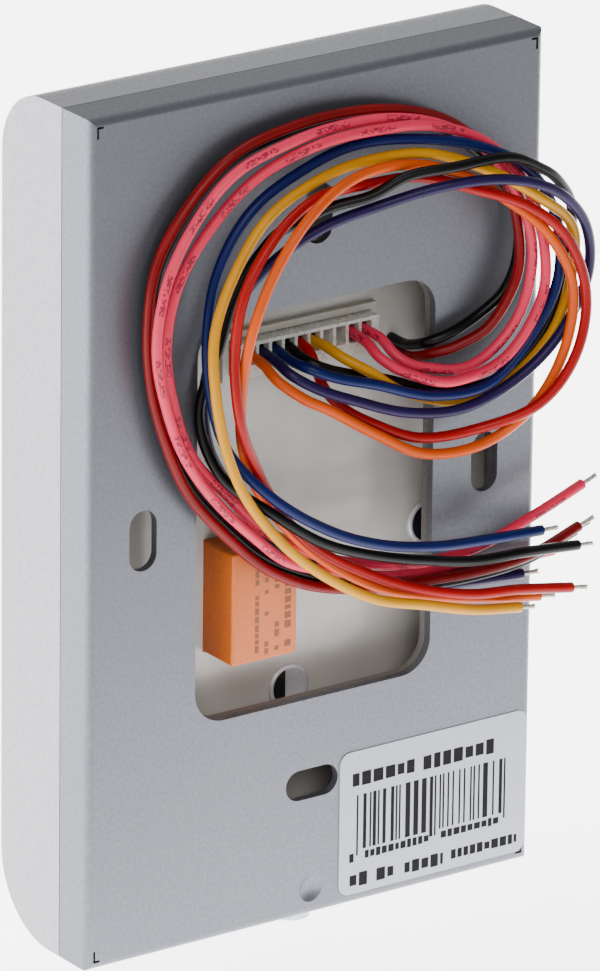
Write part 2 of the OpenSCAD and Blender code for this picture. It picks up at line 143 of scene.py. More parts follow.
def smoothRoute(points, steps):
    # Each span blends its own two points b, c and their neighbours a, d:
    # half of 2b + (c - a) t + (2a - 5b + 4c - d) t^2 + (3b - a - 3c + d) t^3, with t from 0 to 1.
    p = np.array(points, float) / 1000
    p = np.vstack([2 * p[0] - p[1], p, 2 * p[-1] - p[-2]])
    a, b, c, d = (p[i:len(p) - 3 + i, None] for i in range(4))
    t = (np.arange(steps) / steps)[None, :, None]
    spans = 0.5 * (2 * b + (c - a) * t + (2 * a - 5 * b + 4 * c - d) * t ** 2
                   + (3 * b - a - 3 * c + d) * t ** 3)
    return np.vstack([spans.reshape(-1, 3), p[-2]])


def sweepTube(path, radius, sides, firstPoint=0):
    # A circle carried along path: centre + radius (cos u * normal + sin u * side), where each normal is
    # the last one turned square to the path, so the tube doesn't twist. Returns points, faces and UVs.
    step = np.gradient(path, axis=0)
    along = step / np.linalg.norm(step, axis=1)[:, None]
    normal = np.empty_like(along)
    last = np.array([0.3, 0.2, 1.0])
    for i, way in enumerate(along):
        last = last - last @ way * way
        last = last / np.linalg.norm(last)
        normal[i] = last
    u = np.arange(sides) * 2 * np.pi / sides
    radius = np.broadcast_to(radius, len(path))
    side = np.cross(along, normal)
    ring = np.cos(u)[None, :, None] * normal[:, None] + np.sin(u)[None, :, None] * side[:, None]
    points = (path[:, None] + radius[:, None, None] * ring).reshape(-1, 3)
    quads, rowOf, columnOf = gridFaces(len(path), sides)
    run = np.concatenate([[0], np.cumsum(np.linalg.norm(np.diff(path, axis=0), axis=1))])
    uv = np.stack([run[rowOf], columnOf / sides], 2).reshape(-1, 2)
    caps = [list(range(sides))[::-1], list(range((len(path) - 1) * sides, len(path) * sides))]
    faces = [[v + firstPoint for v in face] for face in quads.tolist() + caps]
    return points, faces, np.vstack([uv, np.zeros((2 * sides, 2))])


# The ten wires, as points in millimetres along each one from its crimp to where its jacket ends.
wires = {"diameter": 1.4, "steps": 7, "sides": 20}
routes = {
    "orange": [
        (7.5, -6.5, 20), (7.5, -4, 20), (7.5, -1, 19.5), (7, 1.5, 18), (4, 3, 15.5), (0.5, 3.5, 13.5),
        (-6.5, 4, 9), (-14, 4.5, 5), (-22.5, 5.5, 5), (-29.5, 7, 9.5), (-33.5, 8, 17), (-34, 8.5, 25.5),
        (-30, 8.5, 33), (-24, 7, 38.5), (-17, 6, 43), (-9, 6, 45.5), (-0.5, 7, 45.5), (7, 8.5, 42.5),
        (12.5, 8.5, 36), (16, 8.5, 28.5), (16.5, 7, 20.5), (15, 5, 12), (11.5, 4, 4.5), (6.5, 4.5, -2),
        (1, 5.5, -7), (-6.5, 6, -11.5), (-15, 5.5, -14.5), (-23.5, 5.5, -16.5), (-32, 5.5, -18)],
    "violet": [
        (5.5, -6.5, 20), (5.5, -4, 20), (5.5, -1, 19.5), (5, 1.5, 18.5), (2, 3, 16.5), (-2.5, 4, 14.5),
        (-10.5, 5, 11.5), (-19, 5.5, 10.5), (-27, 6, 13), (-33.5, 6.5, 18), (-37.5, 7, 25.5),
        (-35.5, 9, 33.5), (-29.5, 10.5, 39.5), (-21.5, 10.5, 42.5), (-13.5, 8.5, 42.5), (-5.5, 5.5, 40.5),
        (2.5, 4, 38.5), (10, 3, 34.5), (15, 1.5, 28), (18, 1, 20), (17.5, 1, 11.5), (13.5, 1, 4),
        (8.5, 1, -3), (2, 0.5, -7.5), (-5.5, 0.5, -12), (-14, 2, -14.5), (-22.5, 2.5, -15), (-31, 3, -15.5)],
    "blue": [
        (3.5, -6.5, 20), (3.5, -4, 20), (3.5, -1, 19.5), (2.5, 2, 19), (-1, 3.5, 17.5), (-6, 4.5, 16),
        (-14.5, 5, 13), (-23, 5.5, 13), (-29.5, 5.5, 18), (-33.5, 6, 25.5), (-33, 6, 34), (-28, 7, 41.5),
        (-20.5, 7, 46), (-12.5, 5, 48), (-3.5, 3.5, 48.5), (4.5, 3, 46.5), (12.5, 3, 42.5), (17.5, 3, 35.5),
        (19.5, 3.5, 27.5), (19.5, 4.5, 19), (17.5, 6, 11.5), (12, 8.5, 5), (4, 9, -0.5), (-4, 9, -4),
        (-12.5, 9, -6), (-21, 8.5, -7), (-30, 8.5, -7.5)],
    "black": [
        (1.5, -6.5, 20), (1.5, -4, 20), (1.5, -2, 19.5), (1, 0, 19), (-1, 1, 18), (-5, 1, 16.5),
        (-10, 1.5, 15), (-18, 2, 12), (-26.5, 3, 12.5), (-33, 3.5, 17.5), (-36.5, 3.5, 25.5),
        (-35.5, 6, 34.5), (-32, 8, 39.5), (-28, 9, 42.5), (-22.5, 9.5, 45), (-14.5, 9, 45),
        (-8.5, 7.5, 44.5), (-3.5, 6.5, 42.5), (1.5, 5, 41.5), (5.5, 4, 40), (9.5, 3.5, 38.5),
        (14.5, 3, 32.5), (17.5, 3, 24.5), (20, 2.5, 16.5), (18, 4.5, 8.5), (12, 8, 3), (5, 8.5, -2),
        (-3, 8, -5.5), (-11.5, 8, -8), (-20, 7.5, -10), (-28.5, 7.5, -10.5), (-37, 7, -11.5)],
    "red": [
        (-0.5, -6.5, 20), (-0.5, -4, 20), (-0.5, -2, 19), (-0.5, -0.5, 17), (-1, 0.5, 15), (-2.5, 1.5, 13),
        (-6, 2.5, 10.5), (-13.5, 3.5, 7), (-21.5, 5, 7), (-29, 8.5, 10), (-34, 9.5, 16), (-35.5, 9.5, 24),
        (-32.5, 9.5, 32), (-26.5, 9, 37.5), (-18.5, 7.5, 41), (-12, 5, 43), (-4, 5, 43.5), (4.5, 6, 43.5),
        (11.5, 7, 40), (16.5, 7.5, 33.5), (18, 7.5, 25.5), (17.5, 8, 17), (14, 6.5, 9.5), (10, 6.5, 2.5),
        (4.5, 6.5, -3.5), (-2.5, 7, -8), (-10, 8, -11.5), (-18.5, 8.5, -14), (-26.5, 8.5, -15),
        (-35, 8.5, -16.5)],
    "yellow": [
        (-2.5, -6.5, 20), (-2.5, -4, 20), (-2.5, -1.5, 20), (-3.5, 1, 19), (-6.5, 3, 17), (-11.5, 3, 13.5),
        (-19.5, 4, 11), (-27, 4.5, 12.5), (-33.5, 5, 18), (-36, 5.5, 25.5), (-34.5, 7.5, 33),
        (-28, 9, 38.5), (-21, 8, 43), (-13.5, 5.5, 46), (-5.5, 4.5, 46.5), (2.5, 4.5, 45.5),
        (10.5, 4.5, 42), (16, 5, 36), (20, 6, 28.5), (20.5, 7, 20.5), (19, 7.5, 12.5), (16, 8, 5.5),
        (10.5, 8.5, -1.5), (4, 8.5, -7), (-3.5, 8.5, -11.5), (-11.5, 8.5, -14), (-19.5, 8, -16.5),
        (-27.5, 7.5, -18)],
    "pink_left": [
        (-8.5, -6.5, 20), (-8.5, -4, 20), (-8.5, -1, 19.5), (-9, 1.5, 18), (-12, 3.5, 16),
        (-17.5, 5.5, 14.5), (-25.5, 6, 16.5), (-31, 6, 23.5), (-31, 6, 31.5), (-28, 6, 39.5),
        (-22, 5.5, 46), (-14, 5, 49.5), (-5.5, 5, 50.5), (3, 4.5, 50), (11, 3, 47), (17.5, 2.5, 42),
        (23, 2.5, 35), (25, 2.5, 27), (24, 2.5, 19), (21, 2.5, 11), (15.5, 3, 4.5), (9.5, 2.5, -1.5),
        (2, 3.5, -6), (-6, 4.5, -8.5), (-14, 5.5, -9.5), (-22.5, 5.5, -9), (-31, 5.5, -6.5), (-39, 5, -4)],
    "pink_right": [
        (-10.5, -6.5, 20), (-10.5, -4, 20), (-11, -1.5, 19.5), (-12, 1, 17.5), (-15, 2.5, 16),
        (-21.5, 4, 15.5), (-28, 4.5, 20.5), (-30.5, 4.5, 28.5), (-28.5, 4.5, 36.5), (-24, 4, 43.5),
        (-17, 3.5, 48.5), (-9, 3.5, 51), (-0.5, 3.5, 51.5), (7.5, 3.5, 50.5), (15.5, 3.5, 48),
        (21.5, 3.5, 42.5), (26, 4, 35.5), (27.5, 4, 27), (26, 4, 19), (23, 4, 11.5), (18, 4, 4.5),
        (12, 4, -1.5), (6.5, 3.5, -6), (-1.5, 3.5, -9), (-10.5, 3, -11.5), (-20, 2.5, -12.5),
        (-28.5, 2, -13.5), (-37, 1.5, -14)],
    "pair_red": [
        (-16.5, -7, 15.5), (-16.5, -4, 15.5), (-16.5, -1.5, 16), (-17.5, 1, 17), (-20.5, 2.5, 18),
        (-25, 3.5, 20.5), (-29, 3.5, 27), (-28.5, 3, 35.5), (-25, 2.5, 43), (-18.5, 2, 48.5),
        (-10.5, 2, 51.5), (-2, 2, 52.5), (6.5, 2, 52), (14.5, 2, 50), (21, 2, 45), (26, 2, 38),
        (27.5, 2, 30), (27, 2, 21.5), (25, 2.5, 13.5), (21.5, 2.5, 6), (16, 2.5, -0.5), (9.5, 2.5, -6.5),
        (2, 2.5, -10.5), (-6, 4, -12), (-14, 4.5, -12.5), (-22.5, 4.5, -13), (-31, 4.5, -12.5),
        (-39, 4.5, -10)],
    "pair_black": [
        (-16.5, -7, 17), (-16.5, -4, 17), (-16.5, -2, 17.5), (-17, 0.5, 18.5), (-20, 1.5, 19.5),
        (-24, 1.5, 21), (-28, 2, 24), (-30, 2, 29), (-29.5, 1.5, 35.5), (-24.5, 1, 42.5), (-18, 1, 47),
        (-10, 1, 50.5), (-2, 1, 51.5), (6, 1, 51), (14, 1, 49), (20, 1, 44.5), (25, 1, 37.5), (26.5, 1, 30),
        (26, 1, 22), (24, 1.5, 14), (20.5, 1.5, 6.5), (15, 1.5, 0), (9, 1.5, -5.5), (1.5, 1.5, -9.5),
        (-6, 2, -12.5), (-14.5, 3.5, -13.5), (-22.5, 3.5, -14), (-31, 3.5, -13.5), (-39, 3.5, -11)],
}

# Soft PVC over seven strands: satin, slightly uneven, the ink of its marks worn in places. The stripe
# is how far round the jacket its marks run, as a share of a turn.
jackets = {
    "orange": {"colour": "#CC4C00", "shade": "#A83C00"},
    "violet": {"colour": "#1E0E42", "shade": "#14092C"},
    "blue": {"colour": "#04134F", "shade": "#030D38"},
    "black": {"colour": "#050505", "shade": "#020202"},
    "red": {"colour": "#A00406", "shade": "#780305"},
    "yellow": {"colour": "#CC8E00", "shade": "#AC7400"},
    "pink_left": {"colour": "#D62E4E", "shade": "#BC2240", "marked": True, "stripe": 0.13},
    "pink_right": {"colour": "#DC3554", "shade": "#C02846", "marked": True, "stripe": 0.17},
    "pair_red": {"colour": "#7A0408", "shade": "#560306"},
    "pair_black": {"colour": "#050404", "shade": "#020202"},
}


def jacketMaterial(name, jacket):
    material, tree, shader = newMaterial("soft PVC wire jacket " + name.replace("_", " "),
                                         **{"IOR": 1.53, "Specular IOR Level": 0.16})
    lengthways = addNode(tree, "UVMap", uv_map="alongPiece").outputs["UV"]
    coords = addNode(tree, "TexCoord").outputs["Object"]
    # Pigment drifts over about 6 mm of wire.
    drift = addNode(tree, "TexNoise", {"Scale": 160, "Detail": 2}, {"Vector": coords})
    mix = addNode(tree, "Mix", {6: linearColour(jacket["colour"]), 7: linearColour(jacket["shade"])},
                  {0: drift.outputs["Fac"]}, data_type="RGBA")
    colour = mix.outputs[2]
    if jacket.get("marked"):
        # Marks that stand for print: cells 0.32 mm along by 0.2 mm round, in groups 11 mm apart.
        cells = addNode(tree, "Mapping", {"Scale": (1 / 0.00032, 22, 1)}, {"Vector": lengthways})
        whole = addNode(tree, "VectorMath", None, {0: cells.outputs[0]}, operation="FLOOR")
        ink = addNode(tree, "TexWhiteNoise", None, {"Vector": whole.outputs[0]}, noise_dimensions="2D")
        apart = addNode(tree, "SeparateXYZ", None, {0: lengthways})
        far = addNode(tree, "Math", {1: 0.011}, {0: apart.outputs["X"]}, operation="MODULO")
        group = addNode(tree, "Math", {1: 0.0052}, {0: far.outputs[0]}, operation="LESS_THAN")
        strip = addNode(tree, "Math", {1: jacket["stripe"], 2: 0.09}, {0: apart.outputs["Y"]},
                        operation="COMPARE")
        chosen = addNode(tree, "Math", {1: 0.45}, {0: ink.outputs["Value"]}, operation="GREATER_THAN")
        both = addNode(tree, "Math", None, {0: group.outputs[0], 1: strip.outputs[0]}, operation="MULTIPLY")
        worn = addNode(tree, "Math", None, {0: both.outputs[0], 1: chosen.outputs[0]}, operation="MULTIPLY")
        thin = addNode(tree, "Math", {1: 0.72}, {0: worn.outputs[0]}, operation="MULTIPLY")
        printed = addNode(tree, "Mix", {7: linearColour("#5A1A28")}, {0: thin.outputs[0], 6: colour},
                          data_type="RGBA")
        colour = printed.outputs[2]
    tree.links.new(colour, shader.inputs["Base Color"])
    # Fine lines left by the extruder run along the jacket.
    lines = addNode(tree, "Mapping", {"Scale": (60, 9, 1)}, {"Vector": lengthways})
    ridges = addNode(tree, "TexNoise", {"Scale": 5, "Detail": 3}, {"Vector": lines.outputs[0]})
    gloss = addNode(tree, "MapRange", {3: 0.24, 4: 0.36}, {0: ridges.outputs["Fac"]})
    tree.links.new(gloss.outputs[0], shader.inputs["Roughness"])
    bump = addNode(tree, "Bump", {"Strength": 0.25, "Distance": 0.00003}, {"Height": ridges.outputs["Fac"]})
    tree.links.new(bump.outputs[0], shader.inputs["Normal"])
    return material


def wireTube(name, route):  # the jacket, its cut end slightly rounded and open round the strands
    path = smoothRoute(route, wires["steps"])
    end = path[-1]
    way = (end - path[-2]) / np.linalg.norm(end - path[-2])
    path = np.vstack([path[:-1], end - 0.00012 * way, end - 0.00004 * way, end])
    radius = np.full(len(path), wires["diameter"] / 2000)
    radius[-2:] *= (0.975, 0.9)
    points, faces, uv = sweepTube(path, radius, wires["sides"])
    piece = makePiece("jacket_" + name, points, faces, jacketMaterial(name, jackets[name]), uv=uv)
    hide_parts("wire_" + name)
    return end, way


# Bare ends: seven tinned strands of 0.2 mm with a lazy twist, splayed a little where they were cut.
strands = {"count": 7, "length": 2.5, "sunk": 0.6, "strandDiameter": 0.2, "twist": 1.1, "splay": 0.1,
           "steps": 9, "sides": 8, "seed": 4}


def bareStrands(ends):
    rng = np.random.default_rng(strands["seed"])
    points, faces, count = [], [], 0
    for end, way in ends:
        side = np.cross(way, (0.1, 0.2, 1.0))
        side = side / np.linalg.norm(side)
        rise = np.cross(way, side)
        for k in range(strands["count"]):
            # Centre + r (cos w * side + sin w * rise) + s * way: w grows with the twist, r with the splay.
            cut = strands["length"] * rng.uniform(0.9, 1.0)
            s = np.linspace(-strands["sunk"], cut, strands["steps"]) / 1000
            grown = np.clip(s * 1000 / strands["length"], 0, 1)
            core = 0 if k == strands["count"] - 1 else strands["strandDiameter"]
            r = core + strands["splay"] * grown ** 3 * rng.uniform(-0.4, 1.2)
            w = k * np.pi / 3 + strands["twist"] * grown * np.pi
            path = (end + s[:, None] * way
                    + r[:, None] / 1000 * (np.cos(w)[:, None] * side + np.sin(w)[:, None] * rise))
            new, quads, _ = sweepTube(path, strands["strandDiameter"] / 2000, strands["sides"], count)
            points.append(new)
            faces += quads
            count += len(new)
    # Tinned copper: bright, slightly yellow grey, with dull spots a third of a millimetre across.
    material, tree, shader = newMaterial("tinned copper strand", Metallic=1.0, Roughness=0.3)
    coords = addNode(tree, "TexCoord").outputs["Object"]
    spots = addNode(tree, "TexNoise", {"Scale": 3000, "Detail": 2}, {"Vector": coords})
    tint = addNode(tree, "Mix", {6: linearColour("#D8D3C8"), 7: linearColour("#8F877A")},
                   {0: spots.outputs["Fac"]}, data_type="RGBA")
    tree.links.new(tint.outputs[2], shader.inputs["Base Color"])
    piece = makePiece("bare_strands", np.vstack(points), faces, material)
    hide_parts("stripped_ends")


bareStrands([wireTube(name, route) for name, route in routes.items()])
print("wires laid:", len(routes))


def paintFinish(name, light, dark, patchMm, grainMm, bumpMm, roughness, drift=0.5, **look):
    # Colour moves from light to dark with a slow patch and a fine grain; the grain also lifts the
    # surface by bumpMm and moves the roughness between its two values.
    material, tree, shader = newMaterial(name, **{k.replace("_", " "): v for k, v in look.items()})
    coords = addNode(tree, "TexCoord").outputs["Object"]
    patch = addNode(tree, "TexNoise", {"Scale": 1000 / patchMm, "Detail": 3}, {"Vector": coords})
    grain = addNode(tree, "TexNoise", {"Scale": 1000 / grainMm, "Detail": 2, "Roughness": 0.6},
                    {"Vector": coords})
    share = addNode(tree, "Mix", {0: drift}, {2: grain.outputs["Fac"], 3: patch.outputs["Fac"]})
    spread = addNode(tree, "MapRange", {1: 0.3, 2: 0.7}, {0: share.outputs[0]})
    tint = addNode(tree, "Mix", {6: linearColour(light), 7: linearColour(dark)},
                   {0: spread.outputs[0]}, data_type="RGBA")
    tree.links.new(tint.outputs[2], shader.inputs["Base Color"])
    gloss = addNode(tree, "MapRange", {1: 0.3, 2: 0.7, 3: roughness[0], 4: roughness[1]},
                    {0: grain.outputs["Fac"]})
    tree.links.new(gloss.outputs[0], shader.inputs["Roughness"])
    bump = addNode(tree, "Bump", {"Strength": 1.0, "Distance": bumpMm / 1000}, {"Height": grain.outputs["Fac"]})
    tree.links.new(bump.outputs[0], shader.inputs["Normal"])
    return material


# Finishes of the parts that keep their own shape.
finishes = {
    # Steel sheet under silver lacquer: flakes too fine to show, so drawn 0.5 mm across.
    # Its colour is set well darker than the housing's same lacquer: painted shade for the back plate, which the
    # lamps only graze.
    "back_tray": dict(name="silver lacquered steel sheet darkened as painted shade", light="#6B6D74", dark="#5F6168", patchMm=40,
                      grainMm=0.5, bumpMm=0.003, roughness=(0.34, 0.46), drift=0.3, Metallic=0.75),
    # Cast zinc under the same lacquer, a little smoother; drawn lighter than the tray, whose colour is darkened
    # as painted shade.
    "front_housing": dict(name="silver lacquered zinc casting", light="#9C9DA1", dark="#8F9095", patchMm=50,
                          grainMm=0.6, bumpMm=0.004, roughness=(0.36, 0.48), drift=0.3, Metallic=0.6),
    # Matt dark plastic liner behind the window's edge.
    "rear_frame": dict(name="moulded grey ABS liner", light="#6A6964", dark="#585753", patchMm=12,
                       grainMm=0.8, bumpMm=0.01, roughness=(0.5, 0.65), IOR=1.53),
    # Zinc-plated steel, turned and tumbled.
    "security_screw": dict(name="zinc plated steel", light="#B9BCC0", dark="#9A9DA2", patchMm=3,
                           grainMm=0.3, bumpMm=0.003, roughness=(0.25, 0.4), Metallic=1.0),
    # Gloss paper label.
    "label": dict(name="coated label paper", light="#A9ACB5", dark="#A1A4AE", patchMm=18,
                  grainMm=0.4, bumpMm=0.002, roughness=(0.45, 0.55), IOR=1.45),
    # Glass-epoxy board under green solder mask.
    "main_board": dict(name="green solder mask", light="#1E5A36", dark="#17482B", patchMm=9,
                       grainMm=0.6, bumpMm=0.006, roughness=(0.3, 0.45), IOR=1.55),
    # Cast two-part resin: pale, wet-looking, with slow swirls and a surface that isn't quite level.
    "potting": dict(name="cast pale potting resin", light="#BAB8B3", dark="#A9A6A0", patchMm=14,
                    grainMm=7, bumpMm=0.06, roughness=(0.16, 0.26), drift=0.7, IOR=1.54),
    # Phenolic moulded under heat: deep black, dull.
    "capacitor_bases": dict(name="black moulded phenolic", light="#1B1B1C", dark="#111112", patchMm=4,
                            grainMm=0.4, bumpMm=0.01, roughness=(0.5, 0.65), IOR=1.6),
    # Unfilled nylon: milky, with some light coming through its thin walls.
    "board_header": dict(name="milky nylon header", light="#CFCBBF", dark="#BDB8AA", patchMm=6,
                         grainMm=1.2, bumpMm=0.01, roughness=(0.3, 0.42), IOR=1.53,
                         Transmission_Weight=0.25, Subsurface_Weight=0.3, Subsurface_Scale=0.002),
    # The same nylon with thinner walls: clearer and shinier.
    "wire_plug": dict(name="milky nylon plug", light="#E6E3DC", dark="#D5D0C6", patchMm=5,
                      grainMm=1.0, bumpMm=0.01, roughness=(0.22, 0.34), IOR=1.53,
                      Transmission_Weight=0.35, Subsurface_Weight=0.3, Subsurface_Scale=0.002),
    # Brass with a thin gold flash: warm, bright and slightly uneven.
    "header_pins": dict(name="gold flashed brass", light="#D9B45A", dark="#B8923E", patchMm=2,
                        grainMm=0.3, bumpMm=0.002, roughness=(0.2, 0.32), Metallic=1.0),
    # Bronze strip tinned before it is stamped: bright, with dull patches.
    "crimp_terminals": dict(name="tinned bronze crimp", light="#DDDBD6", dark="#A8A59E", patchMm=1.5,
                            grainMm=0.3, bumpMm=0.01, roughness=(0.14, 0.3), Metallic=1.0),
    # Silicone from a spark-eroded mould: flat grey, no shine.
    "key_mat": dict(name="moulded silicone rubber", light="#6C6F73", dark="#5E6165", patchMm=8,
                    grainMm=0.5, bumpMm=0.01, roughness=(0.6, 0.75), IOR=1.41),
    # Rolled stainless strip, pressed: cool and bright.
    "key_switches": dict(name="stainless steel dome", light="#C9CBCE", dark="#B2B4B7", patchMm=2,
                         grainMm=0.2, bumpMm=0.002, roughness=(0.2, 0.3), Metallic=1.0),
    # Smoked polycarbonate, polished on its face.
    "reader_window": dict(name="smoked polycarbonate", light="#0E1013", dark="#14171B", patchMm=20,
                          grainMm=5, bumpMm=0.004, roughness=(0.06, 0.1), drift=0.6, IOR=1.585,
                          Specular_IOR_Level=0.2),
    # Enamelled wire wound side by side: copper, with turns drawn 0.25 mm wide.
    "antenna_coil": dict(name="enamelled copper winding", light="#B4683A", dark="#8E4A25", patchMm=3,
                         grainMm=0.25, bumpMm=0.03, roughness=(0.25, 0.4), Metallic=1.0),
    # Acrylic with a frosted face, that glows softly and hides the lamp.
    "status_lenses": dict(name="frosted acrylic", light="#A8C0BE", dark="#98B2B0", patchMm=3,
                          grainMm=0.4, bumpMm=0.004, roughness=(0.2, 0.3), IOR=1.49,
                          Transmission_Weight=0.5),
    # Phosphor in silicone: an even, waxy yellow.
    "status_leds": dict(name="yellow phosphor lamp", light="#E5C94A", dark="#D2B23A", patchMm=1,
                        grainMm=0.2, bumpMm=0.004, roughness=(0.35, 0.45), IOR=1.5),
    # Moulded PPO: black with a slight sheen.
    "buzzer": dict(name="black moulded PPO", light="#1A1A1B", dark="#101011", patchMm=5,
                   grainMm=0.5, bumpMm=0.01, roughness=(0.45, 0.6), IOR=1.55),
    # Filled epoxy from a matt mould: charcoal and dull, on both of these.
    "control_chip": dict(name="black epoxy chip body", light="#1E1E20", dark="#151517", patchMm=3,
                         grainMm=0.2, bumpMm=0.006, roughness=(0.55, 0.7), IOR=1.6),
    "voltage_regulator": dict(name="black epoxy regulator body", light="#1D1D1F", dark="#141416", patchMm=3,
                              grainMm=0.2, bumpMm=0.006, roughness=(0.55, 0.7), IOR=1.6),
}
for node, finish in finishes.items():
    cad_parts[node].material_slots[0].material = paintFinish(**finish)
print("finishes on kept parts:", len(finishes))


def roundedOutline(width, height, corner, count=7):
    # Four quarter circles of the corner's radius, one after the other, as (x, z) points.
    angle = (np.arange(4)[:, None] * np.pi / 2 + np.linspace(0, np.pi / 2, count)).ravel()
    signX, signZ = np.repeat([1, -1, -1, 1], count), np.repeat([1, 1, -1, -1], count)
    return np.stack([signX * (width / 2 - corner) + corner * np.cos(angle),
                     signZ * (height / 2 - corner) + corner * np.sin(angle)], 1)


def loftPoints(width, height, corner, profile):
    # Each (inset, y) of the profile gives one ring: the outline drawn in by inset, at depth y.
    rings = [np.insert(roundedOutline(width - 2 * inset, height - 2 * inset, max(corner - inset, 0.05)),
                       1, y, axis=1) for inset, y in profile]
    count = len(rings[0])
    quads = gridFaces(len(rings), count)[0].tolist()
    caps = [list(range(count))[::-1], list(range((len(rings) - 1) * count, len(rings) * count))]
    return np.vstack(rings), quads + caps


def fillet(radius, start, end, steps=5):
    # Quarter circle as (inset, y): the side turns into the top over the radius, towards end.
    angle = np.linspace(0, np.pi / 2, steps)
    sign = 1 if end > start else -1
    return [(radius * (1 - math.cos(a)), end - sign * radius * (1 - math.sin(a))) for a in angle]


# Relay: an orange thermoplastic can with softened edges and a shallow parting line at its foot.
relay = {"edge": 0.35, "corner": 0.5, "foot": (0.1, 0.4), "printFrom": 6.6, "printTo": -6.6, "missing": 0.22,
         "rows": [(3.6, 1.0, 0.9), (1.9, 0.7, 0.8), (0.3, 0.6, 0.7), (-1.2, 0.6, 0.7)], "seed": 11}


def relayCan():
    low, high = (np.array(corner) * 1000 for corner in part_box("relay_case"))
    middle = (low + high) / 2
    inset, rise = relay["foot"]
    profile = [(inset, low[1]), (0, low[1] + rise)] + fillet(relay["edge"], low[1], high[1])
    points, faces = loftPoints(high[0] - low[0], high[2] - low[2], relay["corner"], profile)
    points[:, 0] += middle[0]
    points[:, 2] += middle[2]
    # Filled PBT: an even satin orange with a faint grain from the mould.
    material = paintFinish("moulded orange PBT", "#C05A00", "#AE5000", 9, 0.6, 0.008, (0.45, 0.58), IOR=1.5,
                           Subsurface_Weight=0.1, Subsurface_Scale=0.001)
    piece = makePiece("relay_can", points / 1000, faces, material, recalculate=True)
    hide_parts("relay_case")
    return middle, high


def flatMarks(name, blocks, depth, material):
    # Thin blocks of ink: each is (x, z, width, height) in millimetres, standing between two depths.
    blocks = np.array(blocks, float)
    signs = np.array([[-1, -1], [1, -1], [1, 1], [-1, 1]]) / 2
    flat = blocks[:, None, :2] + signs[None] * blocks[:, None, 2:]
    corners = np.stack([np.insert(flat, 1, y, axis=2) for y in depth], 1).reshape(-1, 3)
    sides = np.array([[0, 1, 2, 3], [7, 6, 5, 4], [0, 4, 5, 1], [1, 5, 6, 2], [2, 6, 7, 3], [3, 7, 4, 0]])
    faces = (np.arange(len(blocks))[:, None, None] * 8 + sides[None]).reshape(-1, 4)
    return makePiece(name, corners / 1000, faces.tolist(), material, recalculate=True)


relayMiddle, relayHigh = relayCan()
# Marks that stand for the relay's print, in rows that run up and down, each with its distance from the
# middle, its width and the gaps between its marks.
ink = paintFinish("worn brown ink", "#7A3A02", "#622E02", 4, 0.4, 0.002, (0.45, 0.6), IOR=1.5)
rng = np.random.default_rng(relay["seed"])
rows = []
for across, tall, gap in relay["rows"]:
    z = relay["printFrom"]
    while z > relay["printTo"]:
        length = rng.uniform(0.5, 1.1)
        if rng.uniform() > relay["missing"]:
            rows.append((relayMiddle[0] - across, relayMiddle[2] + z - length / 2, tall, length))
        z -= length + gap * 0.35
flatMarks("relay_marks", rows, (relayHigh[1] - 0.02, relayHigh[1] + 0.015), ink)
print("relay made")


# Capacitors: drawn aluminium cans, rolled over at the top, with a black segment for the minus side.
can = {"radius": 3.15, "edge": 0.45, "sides": 64, "step": (0.75, 0.02), "floor": (0.85, 0.06),
       "stripeInset": 0.5, "stripeFrom": 0.75}


def capacitorCan(x, z, foot, top):
    r, e = can["radius"], can["edge"]
    bend = np.linspace(0, np.pi / 2, 7)
    # Profile as (radius, y): straight wall, rolled edge, a shallow step and the flat top.
    flat = [(r - inset, top - drop) for inset, drop in (can["step"], can["floor"])]
    profile = np.vstack([[r, foot], np.stack([r - e + e * np.cos(bend), top - e + e * np.sin(bend)], 1), flat])
    u = np.arange(can["sides"]) * 2 * np.pi / can["sides"]
    points = np.stack([x + profile[:, :1] * np.cos(u), np.repeat(profile[:, 1:], len(u), 1),
                       z + profile[:, :1] * np.sin(u)], 2).reshape(-1, 3)
    quads = gridFaces(len(profile), len(u))[0].tolist()
    caps = [list(range(len(u)))[::-1], list(range(len(points) - len(u), len(points)))]
    return points, quads + caps


canLow, canHigh = (np.array(corner) * 1000 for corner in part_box("capacitor_cans"))
canPlaces = [(canHigh[0] - can["radius"], canLow[2] + can["radius"]),
             (canLow[0] + can["radius"], canHigh[2] - can["radius"])]
points, faces = [], []
for x, z in canPlaces:
    new, quads = capacitorCan(x, z, canLow[1], canHigh[1])
    faces += [[v + sum(map(len, points)) for v in quad] for quad in quads]
    points.append(new)
# Drawn and lacquered aluminium: a soft, bright grey.
drawn = paintFinish("drawn aluminium", "#D5D7DA", "#BDBFC3", 5, 0.8, 0.0005, (0.35, 0.45), Metallic=0.4)
piece = makePiece("capacitor_tops", np.vstack(points) / 1000, faces, drawn, recalculate=True)
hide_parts("capacitor_cans")


def canSegment(places, cut, depth):
    # The part of each top beyond x = cut, as an arc closed by its chord.
    r = can["radius"] - can["stripeInset"]
    half = math.acos(cut / r)
    u = np.linspace(-half, half, 25)
    arc = np.stack([r * np.cos(u), r * np.sin(u)], 1)
    points, faces, n = [], [], len(arc)
    for k, (x, z) in enumerate(places):
        for y in depth:
            points.append(np.insert(arc + (x, z), 1, y, axis=1))
        first = 2 * n * k
        faces += [list(range(first, first + n)), list(range(first + 2 * n - 1, first + n - 1, -1))]
        faces += [[first + i, first + n + i, first + n + (i + 1) % n, first + (i + 1) % n] for i in range(n)]
    return np.vstack(points), faces


points, faces = canSegment(canPlaces, can["stripeFrom"], (canHigh[1] - 0.07, canHigh[1] - 0.005))
canInk = paintFinish("black can ink", "#101012", "#1C1C1E", 2, 0.2, 0.002, (0.3, 0.45), IOR=1.5)
piece = makePiece("capacitor_stripes", points / 1000, faces, canInk, recalculate=True)
print("capacitors made")


